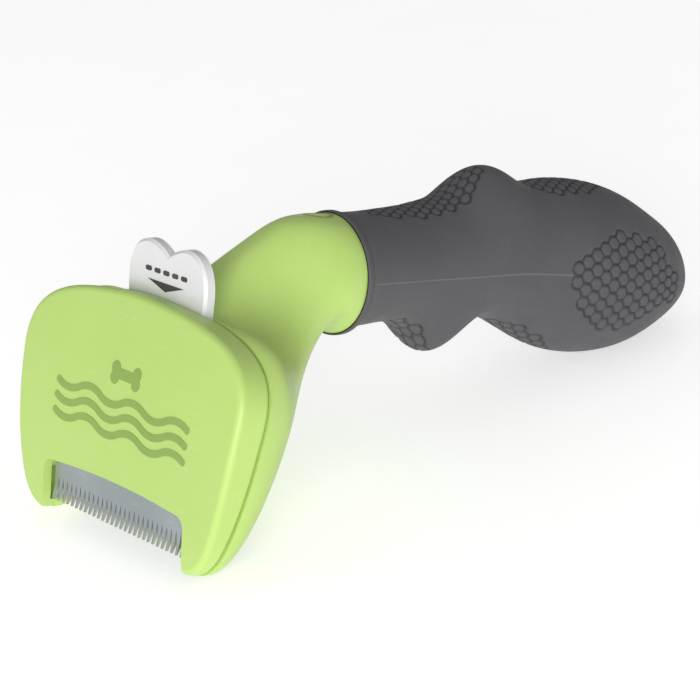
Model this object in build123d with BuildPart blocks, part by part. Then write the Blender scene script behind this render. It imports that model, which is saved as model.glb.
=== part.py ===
"""Deshedding tool: a two-shell head with a steel blade, a sprung hair ejector and a soft grip.

Millimetres. Everything is drawn in the tool's own frame: X along the blade, Y from the face
back along the handle, Z up, with the origin at the centre of the collar where neck meets grip.
At the end the whole tool is laid down as it rests on a table, on its two lobes and the grip.
"""
from build123d import *
from math import radians, sin, cos, hypot
import os

os.makedirs("parts", exist_ok=True)

# ---- driving dimensions -------------------------------------------------------------
# Seam between the two head shells: a plane that leans forward towards the blade.
lobe_tip_y = -49.8
lobe_tip_z = -53.0
seam_lean = 9.8
shell_wall = 2.1
face_round = 1.4

# Notch and blade.
notch_half = 24.4
notch_top = -39.4
notch_corner_z = -40.4
lobe_round_z = -48.6
blade_half = 22.9
blade_front = -51.2
blade_thick = 0.9
tooth_pitch = 1.588
slot_count = 28
slot_top = -44.4
tooth_bend = -46.9
tooth_tip = -49.2
tooth_lean = 0.5
blade_top = -30.0
clamp_thick = 1.0
clamp_back = blade_front + blade_thick + clamp_thick

# Ejector.
ejector_travel = 5.5
button_front = -42.7
button_thick = 2.4
button_top = 8.9
plate_half = 14.3
plate_bottom = -12.0
shelf_thick = 2.0
shelf_half = 21.0
web_front = -47.4
web_thick = 1.5
web_half = 19.0
web_bottom = -42.6
bar_front = -49.9
bar_back = -45.0
bar_top = -41.0
bar_bottom = -43.9
bar_half = 23.6
slide_gap = 0.3
print_thick = 0.12

# Pegs that join the shells, placed on the seam; screws that hold the blade, seen from the front.
peg_places = [(28.5, 38.0), (-28.5, 38.0), (27.5, 12.5), (-27.5, 12.5)]
peg_r = 1.6
boss_r = 3.2
peg_length = 3.5
screw_places = [(-18, -34.5), (0, -34.5), (18, -34.5)]
screw_shank_r = 1.1

# Return springs on guide rods.
rod_x = 17.0
rod_y = -40.0
rod_r = 1.0
rod_bottom = -38.0
rod_top = -11.6
ledge_top = -33.0
spring_r = 2.2
spring_wire = 0.6
spring_turns = 7

# Collar, tang and grip.
collar_r = 12.8
lip_r = 13.3
lip_wide = 1.6
tang_r = 8.0
tang_bore_r = 5.0
tang_end = 26.0
grip_wall = 2.6
core_wall = 2.2
split_lift = 0.6
rest_tilt = 13.3
pin_y = 17.0
pin_r = 2.0

# Grip sections: distance along the handle, top, bottom, half width, height of the side line.
grip_sections = [
    (1.6, 12.8, -12.0, 13.1, 0.0),
    (8.0, 12.6, -11.5, 13.1, -0.1),
    (15.0, 12.9, -11.6, 13.2, -0.2),
    (21.0, 13.3, -14.6, 13.2, -0.3),
    (26.5, 14.1, -19.2, 13.3, -0.4),
    (32.0, 15.7, -17.2, 13.4, -0.5),
    (37.0, 19.3, -13.4, 13.5, -0.6),
    (42.0, 21.1, -12.6, 13.6, -0.7),
    (47.0, 19.9, -14.3, 13.8, -0.9),
    (52.0, 17.4, -16.8, 14.4, -1.2),
    (60.0, 17.1, -20.7, 15.7, -1.8),
    (68.0, 16.9, -23.0, 16.8, -2.7),
    (76.0, 15.6, -23.7, 17.2, -3.6),
    (84.0, 12.9, -22.8, 17.0, -4.8),
    (92.0, 8.7, -19.6, 15.3, -5.9),
    (98.0, 4.6, -15.8, 12.4, -6.9),
    (102.0, 0.9, -12.9, 8.6, -7.6),
    (104.2, -2.6, -10.8, 4.6, -8.1),
    (104.9, -5.8, -9.2, 2.0, -8.2),
]


def front_view(depth):
    """The XZ plane at a given depth; its sketches extrude forward."""
    return Plane(origin=(0, depth, 0), x_dir=(1, 0, 0), z_dir=(0, -1, 0))


def mirrored(points):
    """Close a right-hand half outline, top to bottom, with its mirror image."""
    return points + [(-x, z) for x, z in reversed(points[1:-1])]


def inset(points, gap):
    """Move a right-hand half outline inwards by a gap, along its own normals."""
    full = mirrored(points)
    count = len(full)
    moved = []
    for index in range(len(points)):
        before = full[index - 1]
        after = full[(index + 1) % count]
        run_x = after[0] - before[0]
        run_z = after[1] - before[1]
        length = hypot(run_x, run_z)
        x, z = full[index]
        moved.append((x + gap * run_z / length, z - gap * run_x / length))
    moved[0] = (0, moved[0][1])
    moved[-1] = (0, moved[-1][1])
    return moved


seam = Plane(
    origin=(0, lobe_tip_y, lobe_tip_z),
    x_dir=(1, 0, 0),
    z_dir=(0, -cos(radians(seam_lean)), sin(radians(seam_lean))),
)

# Head outline in the seam plane, from the middle of the top round to the middle of the bottom.
head_outline = [
    (0, 51.2),
    (12, 50.6),
    (22, 49.1),
    (30, 46.4),
    (34.8, 42.6),
    (37, 37.6),
    (37.1, 31),
    (36.3, 23),
    (34.9, 15),
    (33, 8.4),
    (30.9, 4.2),
    (27.6, 1.4),
    (23, 0.5),
    (0, 0.5),
]


def leaning(top_y, top_z, lean):
    """A section plane of the back shell; its up direction leans back by lean degrees."""
    return Plane(
        origin=(0, top_y, top_z),
        x_dir=(1, 0, 0),
        z_dir=(0, -cos(radians(lean)), sin(radians(lean))),
    )


# Sections of the back shell from the seam to the collar: plane, then a half outline whose
# heights are measured up that plane from its own origin.
neck_sections = [
    (
        leaning(-36.6, 0, 8.0),
        [
            (0, -2.4),
            (5.5, -2.9),
            (9.2, -4.2),
            (18, -5.2),
            (27, -6.1),
            (32.5, -8.9),
            (35.3, -13.8),
            (36.2, -21),
            (35.5, -30),
            (33.8, -38.5),
            (30.9, -45.6),
            (26.8, -50.4),
            (14, -51.6),
            (0, -51.7),
        ],
    ),
    (
        leaning(-31.0, 0, 4.0),
        [
            (0, 2),
            (3.8, 1.5),
            (6.6, -0.7),
            (10, -4.9),
            (16, -8.2),
            (22.5, -10),
            (28, -12.6),
            (30.6, -17),
            (30.5, -23),
            (28.7, -30),
            (25.2, -36.5),
            (20, -41),
            (10, -43.5),
            (0, -44),
        ],
    ),
    (
        leaning(-23.5, 0, 2.0),
        [
            (0, 7.2),
            (3.2, 6.5),
            (5.7, 2.4),
            (8.4, -3.2),
            (12.8, -7.8),
            (17.6, -11.4),
            (21, -16),
            (21.6, -21.5),
            (19.8, -28),
            (15.6, -33),
            (8.5, -36),
            (0, -37),
        ],
    ),
    (
        leaning(-14.0, 0, 0.0),
        [
            (0, 12.1),
            (3.5, 11),
            (7.2, 6),
            (10.2, -0.4),
            (12.6, -6.2),
            (12.9, -11.4),
            (11.2, -17.4),
            (7, -22),
            (0, -24),
        ],
    ),
    (
        leaning(-7.5, 0, 0.0),
        [
            (0, 12.9),
            (6.2, 11.3),
            (10.8, 6.2),
            (12.8, -0.2),
            (12, -6),
            (8.7, -9.9),
            (4.5, -12.8),
            (0, -13.6),
        ],
    ),
]


def closed_section(plane, points):
    """A face bounded by one closed smooth curve through the mirrored points."""
    with BuildSketch(plane) as section:
        with BuildLine():
            Spline(*mirrored(points), periodic=True)
        make_face()
    return section.sketch


def collar_section(depth, radius):
    """A round section with its seam point on top, like the other sections."""
    half = [(radius * sin(radians(step)), radius * cos(radians(step))) for step in range(0, 181, 30)]
    return closed_section(front_view(depth), half)


# ---- head envelopes -----------------------------------------------------------------
with BuildPart() as face_space:
    # Everything behind the curved front face.
    with BuildSketch(Plane.YZ) as face_side:
        with BuildLine():
            ThreePointArc((-47.2, 2), (-52.3, -26), (-52.9, -56))
            Polyline((-52.9, -56), (-20, -56), (-20, 2), (-47.2, 2))
        make_face()
    extrude(amount=45, both=True)

with BuildPart() as face_inner_space:
    # The same face, set back by the wall.
    with BuildSketch(Plane.YZ) as inner_side:
        with BuildLine():
            ThreePointArc((-47.2 + shell_wall, 2), (-52.3 + shell_wall, -26), (-52.9 + shell_wall, -56))
            Polyline((-52.9 + shell_wall, -56), (-20, -56), (-20, 2), (-47.2 + shell_wall, 2))
        make_face()
    extrude(amount=45, both=True)

with BuildPart() as notch_space:
    # The opening between the lobes, cut through both shells from the front.
    with BuildSketch(front_view(-25)) as notch_view:
        with BuildLine():
            ThreePointArc(
                (-notch_half + 2.6, notch_corner_z),
                (0, notch_top),
                (notch_half - 2.6, notch_corner_z),
            )
            ThreePointArc(
                (notch_half - 2.6, notch_corner_z),
                (notch_half - 0.8, notch_corner_z - 0.8),
                (notch_half, notch_corner_z - 2.6),
            )
            Line((notch_half, notch_corner_z - 2.6), (notch_half, lobe_round_z))
            ThreePointArc((notch_half, lobe_round_z), (notch_half + 0.9, -51.6), (notch_half + 3.4, -53.6))
            Polyline(
                (notch_half + 3.4, -53.6),
                (notch_half + 3.4, -58),
                (-notch_half - 3.4, -58),
                (-notch_half - 3.4, -53.6),
            )
            ThreePointArc((-notch_half - 3.4, -53.6), (-notch_half - 0.9, -51.6), (-notch_half, lobe_round_z))
            Line((-notch_half, lobe_round_z), (-notch_half, notch_corner_z - 2.6))
            ThreePointArc(
                (-notch_half, notch_corner_z - 2.6),
                (-notch_half + 0.8, notch_corner_z - 0.8),
                (-notch_half + 2.6, notch_corner_z),
            )
        make_face()
    extrude(amount=35)

with BuildPart() as button_slot_space:
    # The slot in the top of the head that the button plate comes through.
    with Locations((0, button_front + button_thick / 2, -3)):
        Box(2 * plate_half + 2 * slide_gap, button_thick + 2 * slide_gap, 12)

# ---- front shell --------------------------------------------------------------------
with BuildPart() as front_shell:
    with BuildSketch(seam) as seam_outline:
        with BuildLine():
            Spline(*mirrored(head_outline), periodic=True)
        make_face()
    extrude(amount=14)
    add(face_space.part, mode=Mode.INTERSECT)
    front_rim = front_shell.faces().sort_by(Axis.Y)[0].edges()
    fillet(front_rim, radius=face_round)
    with BuildPart(mode=Mode.PRIVATE) as front_hollow:
        with BuildSketch(seam) as hollow_outline:
            with BuildLine():
                Spline(*mirrored(inset(head_outline, shell_wall)), periodic=True)
            make_face()
        extrude(amount=14)
        add(face_inner_space.part, mode=Mode.INTERSECT)
        # A flat land for the blade, and bosses behind the pegs.
        with Locations((0, blade_front + 3, (blade_top - 50) / 2)):
            Box(2 * blade_half + 0.6, 6, blade_top + 50.6)
        with BuildSketch(seam):
            with Locations(*peg_places):
                Circle(boss_r)
        extrude(amount=14, mode=Mode.SUBTRACT)
    add(front_hollow.part, mode=Mode.SUBTRACT)
    # Pegs that press into the back shell's sockets.
    with BuildSketch(seam):
        with Locations(*peg_places):
            Circle(peg_r)
    extrude(amount=-peg_length)
    add(notch_space.part, mode=Mode.SUBTRACT)
    add(button_slot_space.part, mode=Mode.SUBTRACT)
    # Blind holes for the blade screws.
    with BuildSketch(front_view(blade_front + 1)):
        with Locations(*screw_places):
            Circle(screw_shank_r)
    extrude(amount=2.1, mode=Mode.SUBTRACT)


# ---- back shell with neck and tang --------------------------------------------------
def back_sections(gap):
    """The back shell's sections, seam to collar, all set in from the surface by a gap."""
    with BuildSketch(seam) as first:
        with BuildLine():
            Spline(*mirrored(inset(head_outline, gap)), periodic=True)
        make_face()
    stack = [first.sketch]
    for plane, points in neck_sections:
        stack.append(closed_section(plane, inset(points, gap)))
    return stack


with BuildPart() as back_envelope:
    loft(sections=back_sections(0) + [collar_section(0, collar_r)])

with BuildPart() as back_hollow:
    loft(sections=back_sections(shell_wall + 0.2))

with BuildPart() as pusher_slot_space:
    # Room for the pusher bar and the web behind the blade.
    with Locations((0, (bar_front + bar_back) / 2, -48)):
        Box(2 * notch_half + 1.0, bar_back - bar_front + 2 * slide_gap, 20)

with BuildPart() as back_shell:
    add(back_envelope.part)
    add(back_hollow.part, mode=Mode.SUBTRACT)
    with BuildPart(mode=Mode.PRIVATE) as inner_posts:
        # Spring ledges, with the bosses that hold the guide rods.
        with BuildSketch(Plane.XY.offset(rod_bottom - 1)):
            with Locations((rod_x, rod_y), (-rod_x, rod_y)):
                Circle(3.4)
        extrude(amount=ledge_top - rod_bottom + 1)
        ledge_middle = (rod_bottom - 1 + ledge_top) / 2
        with Locations((rod_x, -34, ledge_middle), (-rod_x, -34, ledge_middle)):
            Box(3, 10, ledge_top - rod_bottom + 1)
        # Sockets for the front shell's pegs.
        with BuildSketch(seam):
            with Locations(*peg_places):
                Circle(boss_r)
        extrude(amount=-20)
        with BuildSketch(seam):
            with Locations(*peg_places):
                Circle(peg_r + 0.05)
        extrude(amount=-peg_length - 0.5, mode=Mode.SUBTRACT)
        add(back_envelope.part, mode=Mode.INTERSECT)
    add(inner_posts.part)
    # The tang: a hollow tube that runs back into the grip's core.
    with BuildSketch(Plane.XZ.offset(5)):
        Circle(tang_r)
    extrude(amount=-tang_end - 5)
    with BuildSketch(Plane.XZ.offset(12)):
        Circle(tang_bore_r)
    extrude(amount=-tang_end - 12, mode=Mode.SUBTRACT)
    # Cross hole for the handle pin, blind holes for the guide rods.
    with BuildSketch(Plane.YZ):
        with Locations((pin_y, 0)):
            Circle(pin_r)
    extrude(amount=30, both=True, mode=Mode.SUBTRACT)
    with BuildSketch(Plane.XY.offset(rod_bottom)):
        with Locations((rod_x, rod_y), (-rod_x, rod_y)):
            Circle(rod_r)
    extrude(amount=30, mode=Mode.SUBTRACT)
    add(notch_space.part, mode=Mode.SUBTRACT)
    add(button_slot_space.part, mode=Mode.SUBTRACT)
    add(pusher_slot_space.part, mode=Mode.SUBTRACT)

# ---- blade --------------------------------------------------------------------------
with BuildPart() as blade:
    # Flat plate; its upper part lies on the front shell's land.
    with BuildSketch(front_view(blade_front + blade_thick)):
        with BuildLine():
            Polyline(
                (-blade_half, blade_top),
                (blade_half, blade_top),
                (blade_half, tooth_bend),
                (-blade_half, tooth_bend),
                (-blade_half, blade_top),
            )
        make_face()
    extrude(amount=blade_thick)
    # The lower half of the teeth leans forward and thins to an edge.
    with BuildSketch(Plane.YZ):
        Polygon(
            (blade_front, tooth_bend),
            (blade_front + blade_thick, tooth_bend),
            (blade_front - tooth_lean + 0.35, tooth_tip),
            (blade_front - tooth_lean, tooth_tip),
            align=None,
        )
    extrude(amount=blade_half, both=True)
    # Slots between the teeth: pointed at the top, wider towards the tips.
    with BuildSketch(front_view(blade_front + 3)) as slots:
        with GridLocations(tooth_pitch, 1, slot_count, 1):
            Polygon(
                (0, slot_top),
                (0.3, slot_top - 1.6),
                (0.42, tooth_bend),
                (0.62, -51),
                (-0.62, -51),
                (-0.42, tooth_bend),
                (-0.3, slot_top - 1.6),
                align=None,
            )
    extrude(amount=8, mode=Mode.SUBTRACT)
    # Holes for the three blade screws.
    with BuildSketch(front_view(blade_front + 3)):
        with Locations(*screw_places):
            Circle(1.3)
    extrude(amount=8, mode=Mode.SUBTRACT)

with BuildPart() as blade_clamp:
    with BuildSketch(front_view(clamp_back)):
        with Locations((0, -34.5)):
            RectangleRounded(2 * blade_half, 6.5, 1.5)
        with Locations(*screw_places):
            Circle(1.3, mode=Mode.SUBTRACT)
    extrude(amount=clamp_thick)

with BuildPart() as blade_screws:
    with BuildSketch(front_view(clamp_back)):
        with Locations(*screw_places):
            Circle(screw_shank_r)
    extrude(amount=2.8)
    with BuildSketch(front_view(clamp_back)):
        with Locations(*screw_places):
            Circle(2.2)
    extrude(amount=-1.0)
    with BuildSketch(front_view(clamp_back + 1)):
        with Locations(*screw_places):
            RegularPolygon(0.9, 6, mode=Mode.ADD)
    extrude(amount=0.6, mode=Mode.SUBTRACT)

# ---- ejector ------------------------------------------------------------------------
with BuildPart() as ejector_button:
    with BuildSketch(front_view(button_front + button_thick)):
        with BuildLine():
            crown = Spline(
                (13.0, -3.8),
                (13.2, 1.0),
                (12.6, 4.6),
                (10.4, 7.6),
                (6.4, button_top),
                (2.6, 8.0),
                (0, 6.5),
            )
            Spline(
                (0, 6.5),
                (-2.6, 8.0),
                (-6.4, button_top),
                (-10.4, 7.6),
                (-12.6, 4.6),
                (-13.2, 1.0),
                (-13.0, -3.8),
            )
            Line((-13.0, -3.8), (13.0, -3.8))
        make_face()
    extrude(amount=button_thick)
    front_edges = ejector_button.faces().sort_by(Axis.Y)[0].edges().filter_by(GeomType.BSPLINE)
    chamfer(front_edges, length=0.6)
    # Thin plate that carries the button down through the slot to the shelf.
    with Locations((0, -41.6, (plate_bottom - 3.6) / 2)):
        Box(2 * plate_half, 1.4, -3.6 - plate_bottom)
    with BuildSketch(front_view(-30)):
        with Locations((-6, -9.4), (6, -9.4)):
            Circle(0.8)
    extrude(amount=20, mode=Mode.SUBTRACT)

with BuildPart() as ejector_carriage:
    # Side view of web, shelf and fin, in three widths.
    with Locations((0, web_front + web_thick / 2, (web_bottom + plate_bottom) / 2)):
        Box(2 * web_half, web_thick, plate_bottom - web_bottom)
    with Locations((0, (web_front - 37.6) / 2, plate_bottom - shelf_thick / 2)):
        Box(2 * shelf_half, -37.6 - web_front, shelf_thick)
    with Locations((0, -40.1, plate_bottom + 2.6)):
        Box(20, 1.6, 5.2)
    with BuildSketch(front_view(-30)):
        with Locations((-6, -9.4), (6, -9.4)):
            Circle(0.8)
    extrude(amount=14, mode=Mode.SUBTRACT)
    with BuildSketch(Plane.XY.offset(plate_bottom - 5)):
        with Locations((rod_x, rod_y), (-rod_x, rod_y)):
            Circle(rod_r + 0.08)
    extrude(amount=10, mode=Mode.SUBTRACT)

with BuildPart() as button_pins:
    with BuildSketch(front_view(-39.4)):
        with Locations((-6, -9.4), (6, -9.4)):
            Circle(0.8)
    extrude(amount=2.8)

with BuildPart() as pusher_bar:
    with BuildSketch(Plane.YZ):
        with BuildLine():
            Polyline(
                (bar_front, bar_top - 0.6),
                (bar_front, bar_bottom),
                (bar_front + 1.2, bar_bottom - 0.5),
                (bar_back, bar_bottom + 0.6),
                (bar_back, bar_top),
                (bar_front + 0.8, bar_top),
                (bar_front, bar_top - 0.6),
            )
        make_face()
    extrude(amount=bar_half, both=True)
    with Locations((0, web_front + web_thick / 2, (web_bottom + bar_top) / 2)):
        Box(2 * web_half, web_thick, bar_top - web_bottom, mode=Mode.SUBTRACT)

with BuildPart() as button_arrow:
    # Printed pointer and a row of dashes on the front of the button.
    with BuildSketch(front_view(button_front)):
        Polygon((-6.0, 0.9), (6.0, 0.9), (0, -0.9), align=None)
        with GridLocations(3.0, 1, 5, 1):
            with Locations((0, 3.0)):
                RectangleRounded(2.0, 1.0, 0.45)
    extrude(amount=print_thick)

# ---- springs and rods ---------------------------------------------------------------
spring_length = plate_bottom - shelf_thick - ledge_top
spring_path_height = spring_length - 2 * spring_wire
spring_start = ledge_top + spring_wire

with BuildPart() as left_spring:
    with BuildLine():
        left_coil = Helix(
            pitch=spring_path_height / spring_turns,
            height=spring_path_height,
            radius=spring_r,
            center=(-rod_x, rod_y, spring_start),
        )
    with BuildSketch(Plane(origin=left_coil @ 0, z_dir=left_coil % 0)):
        Circle(spring_wire / 2)
    sweep(path=left_coil, is_frenet=True)

with BuildPart() as right_spring:
    add(left_spring.part.moved(Location((2 * rod_x, 0, 0))))

with BuildPart() as guide_rods:
    with BuildSketch(Plane.XY.offset(rod_bottom)):
        with Locations((rod_x, rod_y), (-rod_x, rod_y)):
            Circle(rod_r)
    extrude(amount=rod_top - rod_bottom)

# ---- grip and its core --------------------------------------------------------------
def grip_sketch(depth, top, bottom, half, side, gap):
    """Two half ellipses that meet at the side line, set in by a gap."""
    width = half - gap
    upper = top - side - gap
    lower = side - bottom - gap
    with BuildSketch(Plane(origin=(0, depth, side), x_dir=(1, 0, 0), z_dir=(0, -1, 0))) as section:
        with BuildLine():
            EllipticalCenterArc((0, 0), width, upper, start_angle=0, arc_size=180)
            EllipticalCenterArc((0, 0), width, lower, start_angle=180, arc_size=180)
        make_face()
    return section.sketch


def grip_loft(gap, stations):
    return loft(sections=[grip_sketch(*station, gap) for station in stations])


core_stations = [station for station in grip_sections if station[0] < 100]
hollow_stations = [station for station in grip_sections if 30 < station[0] < 93]

with BuildPart() as grip:
    grip_loft(0, grip_sections)
    # Lip that the neck sits against.
    with BuildSketch(Plane.XZ):
        Circle(lip_r)
    extrude(amount=-lip_wide)
    fillet(grip.edges().filter_by(GeomType.CIRCLE).sort_by(Axis.Y)[0], radius=0.5)
    with BuildPart(mode=Mode.PRIVATE) as core_space:
        grip_loft(grip_wall, core_stations)
    add(core_space.part, mode=Mode.SUBTRACT)
    # Way in for the tang.
    with BuildSketch(Plane.XZ.offset(1)):
        Circle(tang_r + 0.05)
    extrude(amount=-tang_end - 2, mode=Mode.SUBTRACT)

with BuildPart() as core_body:
    grip_loft(grip_wall, core_stations)
    with BuildPart(mode=Mode.PRIVATE) as core_hollow:
        grip_loft(grip_wall + core_wall, hollow_stations)
    add(core_hollow.part, mode=Mode.SUBTRACT)
    # Bosses for the three core screws.
    with BuildPart(mode=Mode.PRIVATE) as core_bosses:
        with BuildSketch(Plane.XY.offset(-30)):
            with Locations((0, 33), (0, 58), (0, 84)):
                Circle(3.6)
        extrude(amount=55)
        with BuildPart(mode=Mode.PRIVATE) as core_again:
            grip_loft(grip_wall, core_stations)
        add(core_again.part, mode=Mode.INTERSECT)
    add(core_bosses.part)
    # Bore for the tang and the cross pin.
    with BuildSketch(Plane.XZ):
        Circle(tang_r + 0.05)
    extrude(amount=-tang_end - 0.5, mode=Mode.SUBTRACT)
    with BuildSketch(Plane.YZ):
        with Locations((pin_y, 0)):
            Circle(pin_r)
    extrude(amount=12, both=True, mode=Mode.SUBTRACT)

core_screw_places = [(33, -8.0), (58, -10.5), (84, -13.0)]
screw_head_r = 2.8
screw_head_tall = 2.2
screw_r = 1.5
screw_length = 15.0

with BuildPart() as core_screws:
    for place_y, head_z in core_screw_places:
        with BuildSketch(Plane.XY.offset(head_z)):
            with Locations((0, place_y)):
                Circle(screw_r)
        extrude(amount=screw_length)
        with BuildSketch(Plane.XY.offset(head_z - screw_head_tall)):
            with Locations((0, place_y)):
                Circle(screw_head_r)
        extrude(amount=screw_head_tall)

with BuildPart() as screw_space:
    add(core_screws.part)
    for place_y, head_z in core_screw_places:
        with BuildSketch(Plane.XY.offset(head_z)):
            with Locations((0, place_y)):
                Circle(screw_head_r)
        extrude(amount=-20)

with BuildPart() as upper_space:
    # Everything above the side line that the grip and its core are split along.
    with BuildSketch(Plane.YZ):
        with BuildLine():
            side_line = Spline(*[(station[0], station[4] + split_lift) for station in core_stations])
            Line(side_line @ 1, (115, -8.0))
            Line((115, -8.0), (115, 30))
            Line((115, 30), (-5, 30))
            Line((-5, 30), (-5, split_lift))
            Line((-5, split_lift), side_line @ 0)
        make_face()
    extrude(amount=30, both=True)

with BuildPart() as handle_core_top:
    add(core_body.part)
    add(upper_space.part, mode=Mode.INTERSECT)
    add(screw_space.part, mode=Mode.SUBTRACT)

with BuildPart() as handle_core_bottom:
    add(core_body.part)
    add(upper_space.part, mode=Mode.SUBTRACT)
    add(screw_space.part, mode=Mode.SUBTRACT)

with BuildPart() as handle_pin:
    with BuildSketch(Plane.YZ):
        with Locations((pin_y, 0)):
            Circle(pin_r)
    extrude(amount=10.2, both=True)

# ---- printed face motif -------------------------------------------------------------
strand_wave = 7.4
strand_bend = 0.9
strand_wide = 1.5

with BuildPart() as face_motif:
    with BuildSketch(front_view(-45)):
        # A bone above three combed strands of hair.
        with Locations((0, -17.5)):
            Rectangle(7.0, 2.2)
        with Locations((-3.6, -16.5), (-3.6, -18.5), (3.6, -16.5), (3.6, -18.5)):
            Circle(1.4)
        for row in (-23.2, -26.4, -29.6):
            with BuildLine():
                for wave in range(-3, 3):
                    start = wave * strand_wave
                    bend = row + strand_bend * (-1) ** wave
                    ThreePointArc(
                        (start, row),
                        (start + strand_wave / 2, bend),
                        (start + strand_wave, row),
                    )
                offset(amount=strand_wide / 2, side=Side.BOTH)
            make_face()
    extrude(amount=12)
    with BuildPart(mode=Mode.PRIVATE) as print_layer:
        # A thin layer standing on the curved face.
        with BuildSketch(Plane.YZ):
            with BuildLine():
                ThreePointArc((-47.2, 2), (-52.3, -26), (-52.9, -56))
                Line((-52.9, -56), (-52.9 - print_thick, -56))
                ThreePointArc(
                    (-52.9 - print_thick, -56),
                    (-52.3 - print_thick, -26),
                    (-47.2 - print_thick, 2),
                )
                Line((-47.2 - print_thick, 2), (-47.2, 2))
            make_face()
        extrude(amount=45, both=True)
    add(print_layer.part, mode=Mode.INTERSECT)

# ---- lay the tool down and export ---------------------------------------------------
pieces = {
    "front_shell": front_shell,
    "back_shell": back_shell,
    "blade": blade,
    "blade_clamp": blade_clamp,
    "blade_screws": blade_screws,
    "ejector_button": ejector_button,
    "button_arrow": button_arrow,
    "ejector_carriage": ejector_carriage,
    "button_pins": button_pins,
    "pusher_bar": pusher_bar,
    "return_spring_left": left_spring,
    "return_spring_right": right_spring,
    "guide_rods": guide_rods,
    "face_motif": face_motif,
    "handle_core_top": handle_core_top,
    "handle_core_bottom": handle_core_bottom,
    "core_screws": core_screws,
    "handle_pin": handle_pin,
    "grip": grip,
}

# Tip the tool back until its lobes and the belly of the grip touch the table.
tip_back = Location((0, 0, 0), (-rest_tilt, 0, 0))
tipped = Compound([piece.part.moved(tip_back) for piece in pieces.values()])
box = tipped.bounding_box()
rest_pose = Location((0, -(box.min.Y + box.max.Y) / 2, -box.min.Z)) * tip_back
print("rest pose moves the tool's origin to", rest_pose.position)

for name, piece in pieces.items():
    laid = piece.part.moved(rest_pose)
    laid.label = name
    print(name, round(laid.volume, 1), laid.is_valid, len(laid.solids()))
    export_step(laid, "parts/" + name + ".step")
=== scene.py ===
# Looks of the deshedding tool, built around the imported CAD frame.
from math import cos, floor, hypot, pi, radians, sin

import bpy
from mathutils import Matrix, Vector
from mathutils.bvhtree import BVHTree


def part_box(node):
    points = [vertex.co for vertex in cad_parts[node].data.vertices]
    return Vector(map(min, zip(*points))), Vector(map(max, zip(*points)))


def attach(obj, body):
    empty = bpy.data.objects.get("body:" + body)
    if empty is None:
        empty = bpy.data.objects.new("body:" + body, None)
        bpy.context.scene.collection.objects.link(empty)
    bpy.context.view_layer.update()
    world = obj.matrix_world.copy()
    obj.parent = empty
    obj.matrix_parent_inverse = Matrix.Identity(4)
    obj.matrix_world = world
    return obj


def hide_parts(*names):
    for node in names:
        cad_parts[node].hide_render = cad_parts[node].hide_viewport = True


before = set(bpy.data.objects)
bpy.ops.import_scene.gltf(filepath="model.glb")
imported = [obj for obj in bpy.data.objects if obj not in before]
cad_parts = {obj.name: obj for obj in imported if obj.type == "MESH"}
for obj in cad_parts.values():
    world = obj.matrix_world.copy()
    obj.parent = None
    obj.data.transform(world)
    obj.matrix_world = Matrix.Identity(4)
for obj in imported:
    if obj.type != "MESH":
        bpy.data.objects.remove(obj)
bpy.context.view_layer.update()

# ---- the tool's own frame -------------------------------------------------------------
# New pieces are drawn in millimetres in the tool's frame: X along the blade, Y from the head to
# the grip, Z up, origin in the middle of the collar. The cross pin, PIN_Y behind the collar,
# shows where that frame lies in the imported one, which is in metres.
MM_PER_M = 1000
REST_TILT = radians(13.3)
PIN_Y = 17.0


def tool_matrix():
    low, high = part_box("handle_pin")
    tilt = Matrix.Rotation(-REST_TILT, 4, "X")
    origin = (low + high) / 2 - tilt @ Vector((0, PIN_Y / MM_PER_M, 0))
    return Matrix.Translation(origin) @ tilt @ Matrix.Scale(1 / MM_PER_M, 4)


TOOL = tool_matrix()


# ---- materials ------------------------------------------------------------------------
# Scales are in cycles per metre. A band is the part of the noise's range that an effect uses.
DRIFT_SCALE = 45
DRIFT_BAND = (0.35, 0.65)
SCUFF_SCALE = 500
SCUFF_STRETCH = (0.3, 3.0, 1.0)
SCUFF_BAND = (0.64, 0.74)
SCUFF_MOST = 0.3
PATCH_SCALE = 260
PATCH_BAND = (0.3, 0.7)
ROUGHNESS_SPREAD = 0.06
GRAIN_STRENGTH = 0.5
# The teeth are ground below this place in the tool's frame; their lighter, greenish colour there is
# partly the ground finish and partly painted light that the lower teeth catch. The blur is in metres.
GROUND_AND_LIT_BELOW = (0, -51.2, -47.0)
GROUND_AND_LIT_STEEL = (0.46, 0.48, 0.45)
GROUND_AND_LIT_BLUR = 0.0005
# The Mix node's colour sockets share their names with others, so they are known by number.
MIX_FACTOR = 0
MIX_BASE = 6
MIX_TINT = 7
MIX_RESULT = 2


def new_material(name):
    material = bpy.data.materials.new(name)
    material.use_nodes = True
    tree = material.node_tree
    tree.nodes.clear()
    output = tree.nodes.new("ShaderNodeOutputMaterial")
    shader = tree.nodes.new("ShaderNodeBsdfPrincipled")
    tree.links.new(shader.outputs["BSDF"], output.inputs["Surface"])
    return material, tree, shader


def noise(tree, coords, scale, detail, stretch=None):
    """Noise in object space; stretch scales its three axes apart."""
    source = coords
    if stretch:
        mapping = tree.nodes.new("ShaderNodeMapping")
        mapping.inputs["Scale"].default_value = stretch
        tree.links.new(coords, mapping.inputs["Vector"])
        source = mapping.outputs["Vector"]
    texture = tree.nodes.new("ShaderNodeTexNoise")
    texture.inputs["Scale"].default_value = scale
    texture.inputs["Detail"].default_value = detail
    tree.links.new(source, texture.inputs["Vector"])
    return texture.outputs["Fac"]


def ramp(tree, value, band, results=(0, 1)):
    """Turns the values from one end of the band to the other into those between the results."""
    node = tree.nodes.new("ShaderNodeMapRange")
    node.inputs["From Min"].default_value = band[0]
    node.inputs["From Max"].default_value = band[1]
    node.inputs["To Min"].default_value = results[0]
    node.inputs["To Max"].default_value = results[1]
    tree.links.new(value, node.inputs["Value"])
    return node.outputs["Result"]


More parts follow.
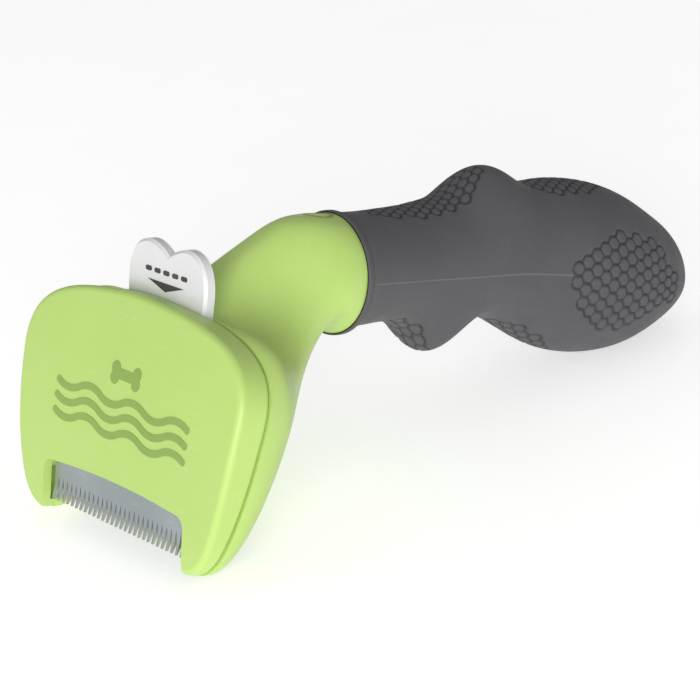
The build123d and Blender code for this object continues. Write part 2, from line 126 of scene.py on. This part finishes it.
def mixed(tree, factor, base, tint):
    """Lays a plain colour, tint, over base, which is a plain colour or a socket."""
    node = tree.nodes.new("ShaderNodeMix")
    node.data_type = "RGBA"
    tree.links.new(factor, node.inputs[MIX_FACTOR])
    if isinstance(base, tuple):
        node.inputs[MIX_BASE].default_value = (*base, 1)
    else:
        tree.links.new(base, node.inputs[MIX_BASE])
    node.inputs[MIX_TINT].default_value = (*tint, 1)
    return node.outputs[MIX_RESULT]


def moulded(
    name,
    colour,
    darker,
    scuffed,
    roughness,
    grain,
    depth,
    marks=(),
    metallic=0.0,
    brushed=None,
    ground_and_light=None,
):
    """A surface with drifting colour, faint scuffs, uneven roughness and a fine grain.

    grain is the grain's pitch and depth its height, in millimetres; marks names mesh attributes
    that tint the colour, as (attribute, colour) pairs; brushed stretches the grain into lines;
    ground_and_light is a height in metres below which the colour is another, as a (height, colour)
    pair, for the blade a lighter colour that is partly its ground finish and partly painted light.
    """
    material, tree, shader = new_material(name)
    coords = tree.nodes.new("ShaderNodeTexCoord").outputs["Object"]
    drift = ramp(tree, noise(tree, coords, DRIFT_SCALE, detail=4), DRIFT_BAND)
    base = mixed(tree, drift, colour, darker)
    scratches = noise(tree, coords, SCUFF_SCALE, detail=2, stretch=SCUFF_STRETCH)
    scuffs = ramp(tree, scratches, SCUFF_BAND, (0, SCUFF_MOST))
    base = mixed(tree, scuffs, base, scuffed)
    for attribute, tint in marks:
        reader = tree.nodes.new("ShaderNodeAttribute")
        reader.attribute_name = attribute
        base = mixed(tree, reader.outputs["Fac"], base, tint)
    # Partly painted light: below the height the colour turns lighter, for a ground finish and the light
    # it catches.
    if ground_and_light:
        height, ground_and_light_colour = ground_and_light
        split = tree.nodes.new("ShaderNodeSeparateXYZ")
        tree.links.new(coords, split.inputs["Vector"])
        below = ramp(tree, split.outputs["Z"], (height + GROUND_AND_LIT_BLUR, height - GROUND_AND_LIT_BLUR))
        base = mixed(tree, below, base, ground_and_light_colour)
    tree.links.new(base, shader.inputs["Base Color"])
    patches = noise(tree, coords, PATCH_SCALE, detail=3)
    spread = (roughness - ROUGHNESS_SPREAD, roughness + ROUGHNESS_SPREAD)
    tree.links.new(ramp(tree, patches, PATCH_BAND, spread), shader.inputs["Roughness"])
    bump = tree.nodes.new("ShaderNodeBump")
    bump.inputs["Strength"].default_value = GRAIN_STRENGTH
    bump.inputs["Distance"].default_value = depth / MM_PER_M
    grains = noise(tree, coords, MM_PER_M / grain, detail=2, stretch=brushed)
    tree.links.new(grains, bump.inputs["Height"])
    tree.links.new(bump.outputs["Normal"], shader.inputs["Normal"])
    shader.inputs["Metallic"].default_value = metallic
    return material


GREEN = moulded(
    "green_abs",
    colour=(0.455, 0.635, 0.165),
    darker=(0.435, 0.615, 0.155),
    scuffed=(0.52, 0.69, 0.24),
    roughness=0.42,
    grain=0.35,
    depth=0.02,
)
GREEN_PRINT = moulded(
    "green_print",
    colour=(0.25, 0.38, 0.078),
    darker=(0.235, 0.36, 0.072),
    scuffed=(0.32, 0.46, 0.12),
    roughness=0.5,
    grain=0.3,
    depth=0.02,
)
STEEL = moulded(
    "blade_steel",
    colour=(0.40, 0.43, 0.45),
    darker=(0.33, 0.36, 0.38),
    scuffed=(0.50, 0.53, 0.55),
    roughness=0.34,
    grain=0.12,
    depth=0.02,
    metallic=0.85,
    brushed=(12, 1, 0.6),
    # Lower on the teeth the steel is lighter: partly its ground finish, partly painted light that the
    # lower teeth catch.
    ground_and_light=((TOOL @ Vector(GROUND_AND_LIT_BELOW)).z, GROUND_AND_LIT_STEEL),
)
PLAIN_STEEL = moulded(
    "plain_steel",
    colour=(0.5, 0.5, 0.5),
    darker=(0.42, 0.42, 0.42),
    scuffed=(0.6, 0.6, 0.6),
    roughness=0.35,
    grain=0.3,
    depth=0.02,
    metallic=1.0,
)
WHITE = moulded(
    "white_button",
    colour=(0.71, 0.71, 0.715),
    darker=(0.685, 0.685, 0.69),
    scuffed=(0.63, 0.63, 0.63),
    roughness=0.33,
    grain=0.5,
    depth=0.01,
)
BLACK_PRINT = moulded(
    "black_print",
    colour=(0.035, 0.035, 0.037),
    darker=(0.05, 0.05, 0.052),
    scuffed=(0.09, 0.09, 0.09),
    roughness=0.5,
    grain=0.2,
    depth=0.01,
)
# Painted shade: the carriage and pusher bar are grey acetal, coloured near black here so that the slots
# between the teeth show the shade behind them.
ACETAL_PAINTED_SHADE = moulded(
    "acetal_painted_shade",
    colour=(0.022, 0.023, 0.025),
    darker=(0.018, 0.019, 0.021),
    scuffed=(0.05, 0.05, 0.05),
    roughness=0.45,
    grain=0.4,
    depth=0.02,
)
CORE_BLACK = moulded(
    "core_black",
    colour=(0.03, 0.03, 0.03),
    darker=(0.04, 0.04, 0.04),
    scuffed=(0.08, 0.08, 0.08),
    roughness=0.5,
    grain=0.5,
    depth=0.02,
)
RUBBER = moulded(
    "grip_rubber",
    colour=(0.083, 0.081, 0.089),
    darker=(0.074, 0.072, 0.080),
    scuffed=(0.11, 0.11, 0.115),
    roughness=0.62,
    grain=0.3,
    depth=0.1,
    # The grooves' near-black tint is painted shade, darkest where a groove sinks deepest.
    marks=[("groove", (0.026, 0.026, 0.028)), ("parting", (0.15, 0.15, 0.155))],
)

NODE_MATERIALS = {
    "front_shell": GREEN,
    "back_shell": GREEN,
    "face_motif": GREEN_PRINT,
    "blade": STEEL,
    "blade_clamp": PLAIN_STEEL,
    "blade_screws": PLAIN_STEEL,
    "ejector_button": WHITE,
    "button_arrow": BLACK_PRINT,
    # The carriage and pusher bar take the painted shade, near black in place of their grey.
    "ejector_carriage": ACETAL_PAINTED_SHADE,
    "button_pins": PLAIN_STEEL,
    "pusher_bar": ACETAL_PAINTED_SHADE,
    "return_spring_left": PLAIN_STEEL,
    "return_spring_right": PLAIN_STEEL,
    "guide_rods": PLAIN_STEEL,
    "handle_core_top": CORE_BLACK,
    "handle_core_bottom": CORE_BLACK,
    "core_screws": PLAIN_STEEL,
    "handle_pin": PLAIN_STEEL,
    "grip": RUBBER,
}
for node_name, node_material in NODE_MATERIALS.items():
    node_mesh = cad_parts[node_name].data
    node_mesh.materials.clear()
    node_mesh.materials.append(node_material)


# ---- mesh helpers ---------------------------------------------------------------------
def add_piece(name, points, faces, material, body, replaced=(), attributes=None):
    """Makes a smooth piece from points in the tool's frame and puts it on its body."""
    mesh = bpy.data.meshes.new(name)
    mesh.from_pydata([TOOL @ Vector(p) for p in points], [], faces)
    for key, values in (attributes or {}).items():
        attribute = mesh.attributes.new(key, "FLOAT", "POINT")
        attribute.data.foreach_set("value", values)
    mesh.materials.append(material)
    mesh.shade_smooth()
    piece = bpy.data.objects.new(name, mesh)
    bpy.context.scene.collection.objects.link(piece)
    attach(piece, body)
    if replaced:
        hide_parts(*replaced)


def ring_faces(rings, around, turned=False):
    """Four-sided faces from each ring of points to the next; turned makes them face the other way."""
    faces = []
    for start in range(0, (rings - 1) * around, around):
        beyond = start + around
        for i in range(around):
            j = (i + 1) % around
            if turned:
                faces.append((start + i, beyond + i, beyond + j, start + j))
            else:
                faces.append((start + i, start + j, beyond + j, beyond + i))
    return faces


def smooth_curve(stations):
    """A natural cubic spline through (place, value) pairs, as a function of place."""
    xs = [s[0] for s in stations]
    ys = [s[1] for s in stations]
    n = len(xs)
    second = [0.0] * n
    work = [0.0] * n
    for i in range(1, n - 1):
        ratio = (xs[i] - xs[i - 1]) / (xs[i + 1] - xs[i - 1])
        pivot = ratio * second[i - 1] + 2
        second[i] = (ratio - 1) / pivot
        slope = (ys[i + 1] - ys[i]) / (xs[i + 1] - xs[i]) - (ys[i] - ys[i - 1]) / (xs[i] - xs[i - 1])
        work[i] = (6 * slope / (xs[i + 1] - xs[i - 1]) - ratio * work[i - 1]) / pivot
    for i in range(n - 2, -1, -1):
        second[i] = second[i] * second[i + 1] + work[i]

    def value(x):
        i = 0
        while i < n - 2 and x > xs[i + 1]:
            i += 1
        gap = xs[i + 1] - xs[i]
        a = (xs[i + 1] - x) / gap
        b = (x - xs[i]) / gap
        bend = ((a ** 3 - a) * second[i] + (b ** 3 - b) * second[i + 1]) * gap ** 2 / 6
        return a * ys[i] + b * ys[i + 1] + bend

    return value


def smooth_step(low, high, value):
    """0 below low, 1 above high, and an S-shaped rise between."""
    t = min(1, max(0, (value - low) / (high - low)))
    return t * t * (3 - 2 * t)


def inside(outline, u, v):
    """Whether a place is within a closed outline."""
    found = False
    for i, (u1, v1) in enumerate(outline):
        u2, v2 = outline[i - 1]
        if (v1 > v) != (v2 > v) and u < (u2 - u1) * (v - v1) / (v2 - v1) + u1:
            found = not found
    return found


# ---- grip -----------------------------------------------------------------------------
# Distance along the handle, top, bottom, half width, height of the side line.
GRIP_SECTIONS = [
    (1.6, 12.8, -12.0, 13.1, 0.0),
    (8.0, 12.6, -11.5, 13.1, -0.1),
    (15.0, 12.9, -11.6, 13.2, -0.2),
    (21.0, 13.3, -14.6, 13.2, -0.3),
    (26.5, 14.1, -19.2, 13.3, -0.4),
    (32.0, 15.7, -17.2, 13.4, -0.5),
    (37.0, 19.3, -13.4, 13.5, -0.6),
    (42.0, 21.1, -12.6, 13.6, -0.7),
    (47.0, 19.9, -14.3, 13.8, -0.9),
    (52.0, 17.4, -16.8, 14.4, -1.2),
    (60.0, 17.1, -20.7, 15.7, -1.8),
    (68.0, 16.9, -23.0, 16.8, -2.7),
    (76.0, 15.6, -23.7, 17.2, -3.6),
    (84.0, 12.9, -22.8, 17.0, -4.8),
    (92.0, 8.7, -19.6, 15.3, -5.9),
    (98.0, 4.6, -15.8, 12.4, -6.9),
    (102.0, 0.9, -12.9, 8.6, -7.6),
    (104.2, -2.6, -10.8, 4.6, -8.1),
    (104.9, -5.8, -9.2, 2.0, -8.2),
]
GRIP_TOP, GRIP_BOTTOM, GRIP_HALF, GRIP_SIDE = [
    smooth_curve([(s[0], s[k]) for s in GRIP_SECTIONS]) for k in (1, 2, 3, 4)
]

# Rings of the skin: first the lip that the neck sits in, as radius and distance, then the handle,
# which closes on one point a little beyond the last ring and above its side line.
GRIP_AROUND = 400
GRIP_LIP = [
    (12.85, 0.3),
    (13.0, 0.05),
    (13.15, 0.0),
    (13.28, 0.12),
    (13.32, 0.4),
    (13.32, 1.2),
    (13.2, 1.42),
    (12.9, 1.6),
]
GRIP_START = 2.0
GRIP_ROW = 0.26
GRIP_TIP = [103.9, 104.2, 104.45, 104.65, 104.8, 104.9]
TIP_BEYOND = 0.1
TIP_RAISE = 0.6

# Hexagons of the gripping patches. A column of cells is HEX_COLUMN pitches wide. The groove's
# floor and rim are shares of its half width. The tints are how far a mark's colour shows; the
# grooves' dark tint is painted shade in the hollows.
HEX_PITCH = 3.0
SMALL_PITCH = 2.4
HEX_COLUMN = 0.866
HEX_DEPTH = 0.5
GROOVE_HALF = 0.34
GROOVE_FLOOR = 0.3
GROOVE_RIM = 1.25
GROOVE_SHADE = 0.8

# The parting line on both sides: its height and the stretches of handle where it shows.
RIDGE_HEIGHT = 0.06
RIDGE_STRETCHES = [(2.5, 58), (92.5, 103)]
PARTING_TINT = 0.8


def both_sides(half):
    """Close a patch outline given along one side with its mirror image."""
    return half + [(u, -v) for u, v in reversed(half)]


# Outlines of the gripping patches: along the handle, and across it from the patch's middle line.
SIDE_PATCH = [
    (58.0, -2.5),
    (59.5, 3.0),
    (66.0, 6.5),
    (71.5, 9.8),
    (83.0, 10.6),
    (88.5, 5.5),
    (92.5, 1.0),
    (92.0, -4.0),
    (87.0, -6.5),
    (82.0, -9.4),
    (74.0, -10.8),
    (68.0, -10.8),
    (62.0, -6.0),
]
TOP_FRONT_PATCH = both_sides([(9.0, 3.4), (22.0, 5.0), (33.0, 5.0), (41.0, 3.0)])
TOP_REAR_PATCH = both_sides([(52.0, 4.0), (60.0, 6.2), (69.0, 6.2), (76.0, 2.6)])
BOTTOM_FRONT_PATCH = both_sides([(11.0, 6.5), (20.0, 7.2), (26.0, 4.0)])
BOTTOM_REAR_PATCH = both_sides([(45.0, 5.0), (50.0, 7.2), (57.0, 7.2), (63.0, 3.0)])

# Patches on the top and underside: outline, pitch, whether on top, and the room that the patch
# and its outer grooves stay in, from one distance to another and this far off the middle line.
FLAT_PATCHES = [
    (TOP_FRONT_PATCH, SMALL_PITCH, True, 5, 46, 8.5),
    (BOTTOM_FRONT_PATCH, HEX_PITCH, False, 8, 29, 9.5),
    (TOP_REAR_PATCH, SMALL_PITCH, True, 48, 82, 10),
    (BOTTOM_REAR_PATCH, HEX_PITCH, False, 42, 66, 9.5),
]
# The side patch is laid out on a cylinder of this radius, within this angle of the side line.
SIDE_STRETCH = (54, 96)
SIDE_RADIUS = 18.0
SIDE_ANGLE = 0.9


def hexagon_depth(outline, u, v, pitch):
    """0 on a cell's top or outside the patch, 1 in the middle of a groove round a cell."""
    column = HEX_COLUMN * pitch
    nearest = []
    first = floor(u / column)
    for c in (first - 1, first, first + 1, first + 2):
        shift = (c % 2) / 2
        r0 = floor(v / pitch - shift)
        for r in (r0, r0 + 1):
            centre = (c * column, (r + shift) * pitch)
            nearest.append((hypot(u - centre[0], v - centre[1]), centre))
    nearest.sort()
    cell = nearest[0][1]
    other = nearest[1][1]
    if not (inside(outline, *cell) or inside(outline, *other)):
        return 0.0
    # Distance to the edge that two neighbours share.
    gap_u, gap_v = other[0] - cell[0], other[1] - cell[1]
    span = hypot(gap_u, gap_v)
    along = ((u - cell[0]) * gap_u + (v - cell[1]) * gap_v) / span
    return 1 - smooth_step(GROOVE_FLOOR * GROOVE_HALF, GROOVE_RIM * GROOVE_HALF, span / 2 - along)


def grip_groove(y, angle, x):
    """How deep a groove of the gripping patches is at a place on the grip, from 0 to 1."""
    upper = sin(angle) > 0
    for outline, pitch, on_top, first, last, widest in FLAT_PATCHES:
        if first < y < last and on_top == upper and abs(x) < widest:
            return hexagon_depth(outline, y, x, pitch)
    if SIDE_STRETCH[0] < y < SIDE_STRETCH[1]:
        # Angle above the side line, on the left as on the right.
        across = angle
        if abs(angle) >= pi / 2:
            across = (pi if angle > 0 else -pi) - angle
        if abs(across) < SIDE_ANGLE:
            return hexagon_depth(SIDE_PATCH, y, SIDE_RADIUS * across, HEX_PITCH)
    return 0.0


def grip_point(y, angle, depth, ridge):
    """A place on the grip's skin, sunk by a groove or raised by the parting line."""
    side = GRIP_SIDE(y)
    half = GRIP_HALF(y)
    tall = GRIP_TOP(y) - side if sin(angle) > 0 else side - GRIP_BOTTOM(y)
    x = half * cos(angle)
    z = tall * sin(angle)
    normal_x = x / half ** 2
    normal_z = z / tall ** 2
    out = (RIDGE_HEIGHT * ridge - HEX_DEPTH * depth) / hypot(normal_x, normal_z)
    return (x + out * normal_x, y, side + z + out * normal_z)


def build_grip():
    """The soft skin with its lip, gripping patches and parting line, in place of the CAD grip."""
    angles = [-pi + 2 * pi * i / GRIP_AROUND for i in range(GRIP_AROUND)]
    points = [(radius * cos(angle), y, radius * sin(angle)) for radius, y in GRIP_LIP for angle in angles]
    groove = [0.0] * len(points)
    parting = [0.0] * len(points)
    rows = int((GRIP_TIP[0] - GRIP_START) / GRIP_ROW)
    for y in [GRIP_START + GRIP_ROW * row for row in range(rows)] + GRIP_TIP:
        ridged = any(first < y < last for first, last in RIDGE_STRETCHES)
        for i, angle in enumerate(angles):
            depth = grip_groove(y, angle, GRIP_HALF(y) * cos(angle))
            ridge = 1.0 if ridged and i in (0, GRIP_AROUND // 2) else 0.0
            points.append(grip_point(y, angle, depth, ridge))
            # Painted shade: the deeper the groove, the darker the rubber there.
            groove.append(GROOVE_SHADE * depth)
            parting.append(PARTING_TINT * ridge)
    faces = ring_faces(len(points) // GRIP_AROUND, GRIP_AROUND)
    tip = len(points)
    points.append((0, GRIP_TIP[-1] + TIP_BEYOND, GRIP_SIDE(GRIP_TIP[-1]) + TIP_RAISE))
    groove.append(0.0)
    parting.append(0.0)
    for i in range(GRIP_AROUND):
        faces.append((tip - GRIP_AROUND + i, tip - GRIP_AROUND + (i + 1) % GRIP_AROUND, tip))
    marks = {"groove": groove, "parting": parting}
    add_piece("grip_skin", points, faces, RUBBER, "body", ["grip"], marks)


build_grip()

# ---- mark on the neck -----------------------------------------------------------------
# The ring's place and radii, and how far it stands out of the neck and reaches into it.
MARK_Y = -4.2
MARK_INNER = 2.4
MARK_OUTER = 3.3
MARK_RISE = 0.06
MARK_SINK = 0.15
MARK_AROUND = 72
# A height above the whole tool, from which the neck's top is looked for.
ABOVE_NECK = 30


def surface_tree(node_name):
    """A search tree of a node's surface in the tool's frame, in millimetres."""
    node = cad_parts[node_name]
    to_tool = TOOL.inverted() @ node.matrix_world
    corners = [to_tool @ vertex.co for vertex in node.data.vertices]
    return BVHTree.FromPolygons(corners, [list(polygon.vertices) for polygon in node.data.polygons])


def build_neck_mark():
    """A plain printed ring that follows the top of the neck."""
    neck = surface_tree("back_shell")
    profile = (
        (MARK_INNER, -MARK_SINK),
        (MARK_INNER, MARK_RISE),
        (MARK_OUTER, MARK_RISE),
        (MARK_OUTER, -MARK_SINK),
    )
    points = []
    for radius, rise in profile:
        for i in range(MARK_AROUND):
            angle = 2 * pi * i / MARK_AROUND
            x = radius * cos(angle)
            y = MARK_Y + radius * sin(angle)
            hit = neck.ray_cast(Vector((x, y, ABOVE_NECK)), Vector((0, 0, -1)))[0]
            points.append((x, y, hit.z + rise))
    faces = ring_faces(len(profile), MARK_AROUND, turned=True)
    add_piece("neck_mark", points, faces, GREEN_PRINT, "body")


build_neck_mark()

# ---- floor, light and camera ----------------------------------------------------------
# In metres and watts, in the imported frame.
FLOOR_HALF = 6
FLOOR_GLOW = 0.5
LIGHT_TARGET = (0, 0, 0.03)
WORLD_STRENGTH = 0.38
WHITE_LIGHT = (1, 1, 1, 1)
# The camera fitted to the photograph: its place in the tool's frame in millimetres, its turn in
# degrees, its lens and sensor in millimetres, and how far it sees in metres.
CAMERA_PLACE = (426.41, -363.53, 115.08)
CAMERA_TURN = (68.209, 5.776, 49.892)
CAMERA_LENS = 138.86
CAMERA_SENSOR = 36
CAMERA_CLIP = 50


def build_floor():
    """A pale floor that glows a little, so that it stays nearly white under the soft light."""
    material = moulded(
        "floor_pale",
        colour=(0.93, 0.93, 0.93),
        darker=(0.92, 0.92, 0.92),
        scuffed=(0.92, 0.92, 0.92),
        roughness=0.6,
        grain=4.0,
        depth=0.01,
    )
    shader = next(n for n in material.node_tree.nodes if n.type == "BSDF_PRINCIPLED")
    shader.inputs["Emission Color"].default_value = WHITE_LIGHT
    shader.inputs["Emission Strength"].default_value = FLOOR_GLOW
    mesh = bpy.data.meshes.new("floor")
    corners = [
        (-FLOOR_HALF, -FLOOR_HALF, 0),
        (FLOOR_HALF, -FLOOR_HALF, 0),
        (FLOOR_HALF, FLOOR_HALF, 0),
        (-FLOOR_HALF, FLOOR_HALF, 0),
    ]
    mesh.from_pydata(corners, [], [(0, 1, 2, 3)])
    mesh.materials.append(material)
    plane = bpy.data.objects.new("floor", mesh)
    bpy.context.scene.collection.objects.link(plane)


def area_light(name, place, size, power):
    """A square light that faces the tool."""
    light = bpy.data.lights.new(name, "AREA")
    light.shape = "SQUARE"
    light.size = size
    light.energy = power
    holder = bpy.data.objects.new(name, light)
    holder.location = place
    holder.rotation_euler = (Vector(LIGHT_TARGET) - Vector(place)).to_track_quat("-Z", "Y").to_euler()
    bpy.context.scene.collection.objects.link(holder)


def build_world():
    world = bpy.data.worlds.new("studio")
    world.use_nodes = True
    background = world.node_tree.nodes["Background"]
    background.inputs["Color"].default_value = WHITE_LIGHT
    background.inputs["Strength"].default_value = WORLD_STRENGTH
    bpy.context.scene.world = world
    bpy.context.scene.view_settings.view_transform = "Standard"


def build_camera():
    data = bpy.data.cameras.new("camera")
    data.sensor_width = CAMERA_SENSOR
    data.lens = CAMERA_LENS
    data.clip_end = CAMERA_CLIP
    camera = bpy.data.objects.new("camera", data)
    camera.location = TOOL @ Vector(CAMERA_PLACE)
    camera.rotation_euler = [radians(turn) for turn in CAMERA_TURN]
    bpy.context.scene.collection.objects.link(camera)
    bpy.context.scene.camera = camera


build_floor()
area_light("key", place=(0.88, -0.88, 0.26), size=0.6, power=11.6)
area_light("fill", place=(-0.4, -1.1, 0.5), size=0.8, power=1.5)
area_light("top", place=(0.0, 0.3, 1.2), size=0.8, power=0.4)
build_world()
build_camera()
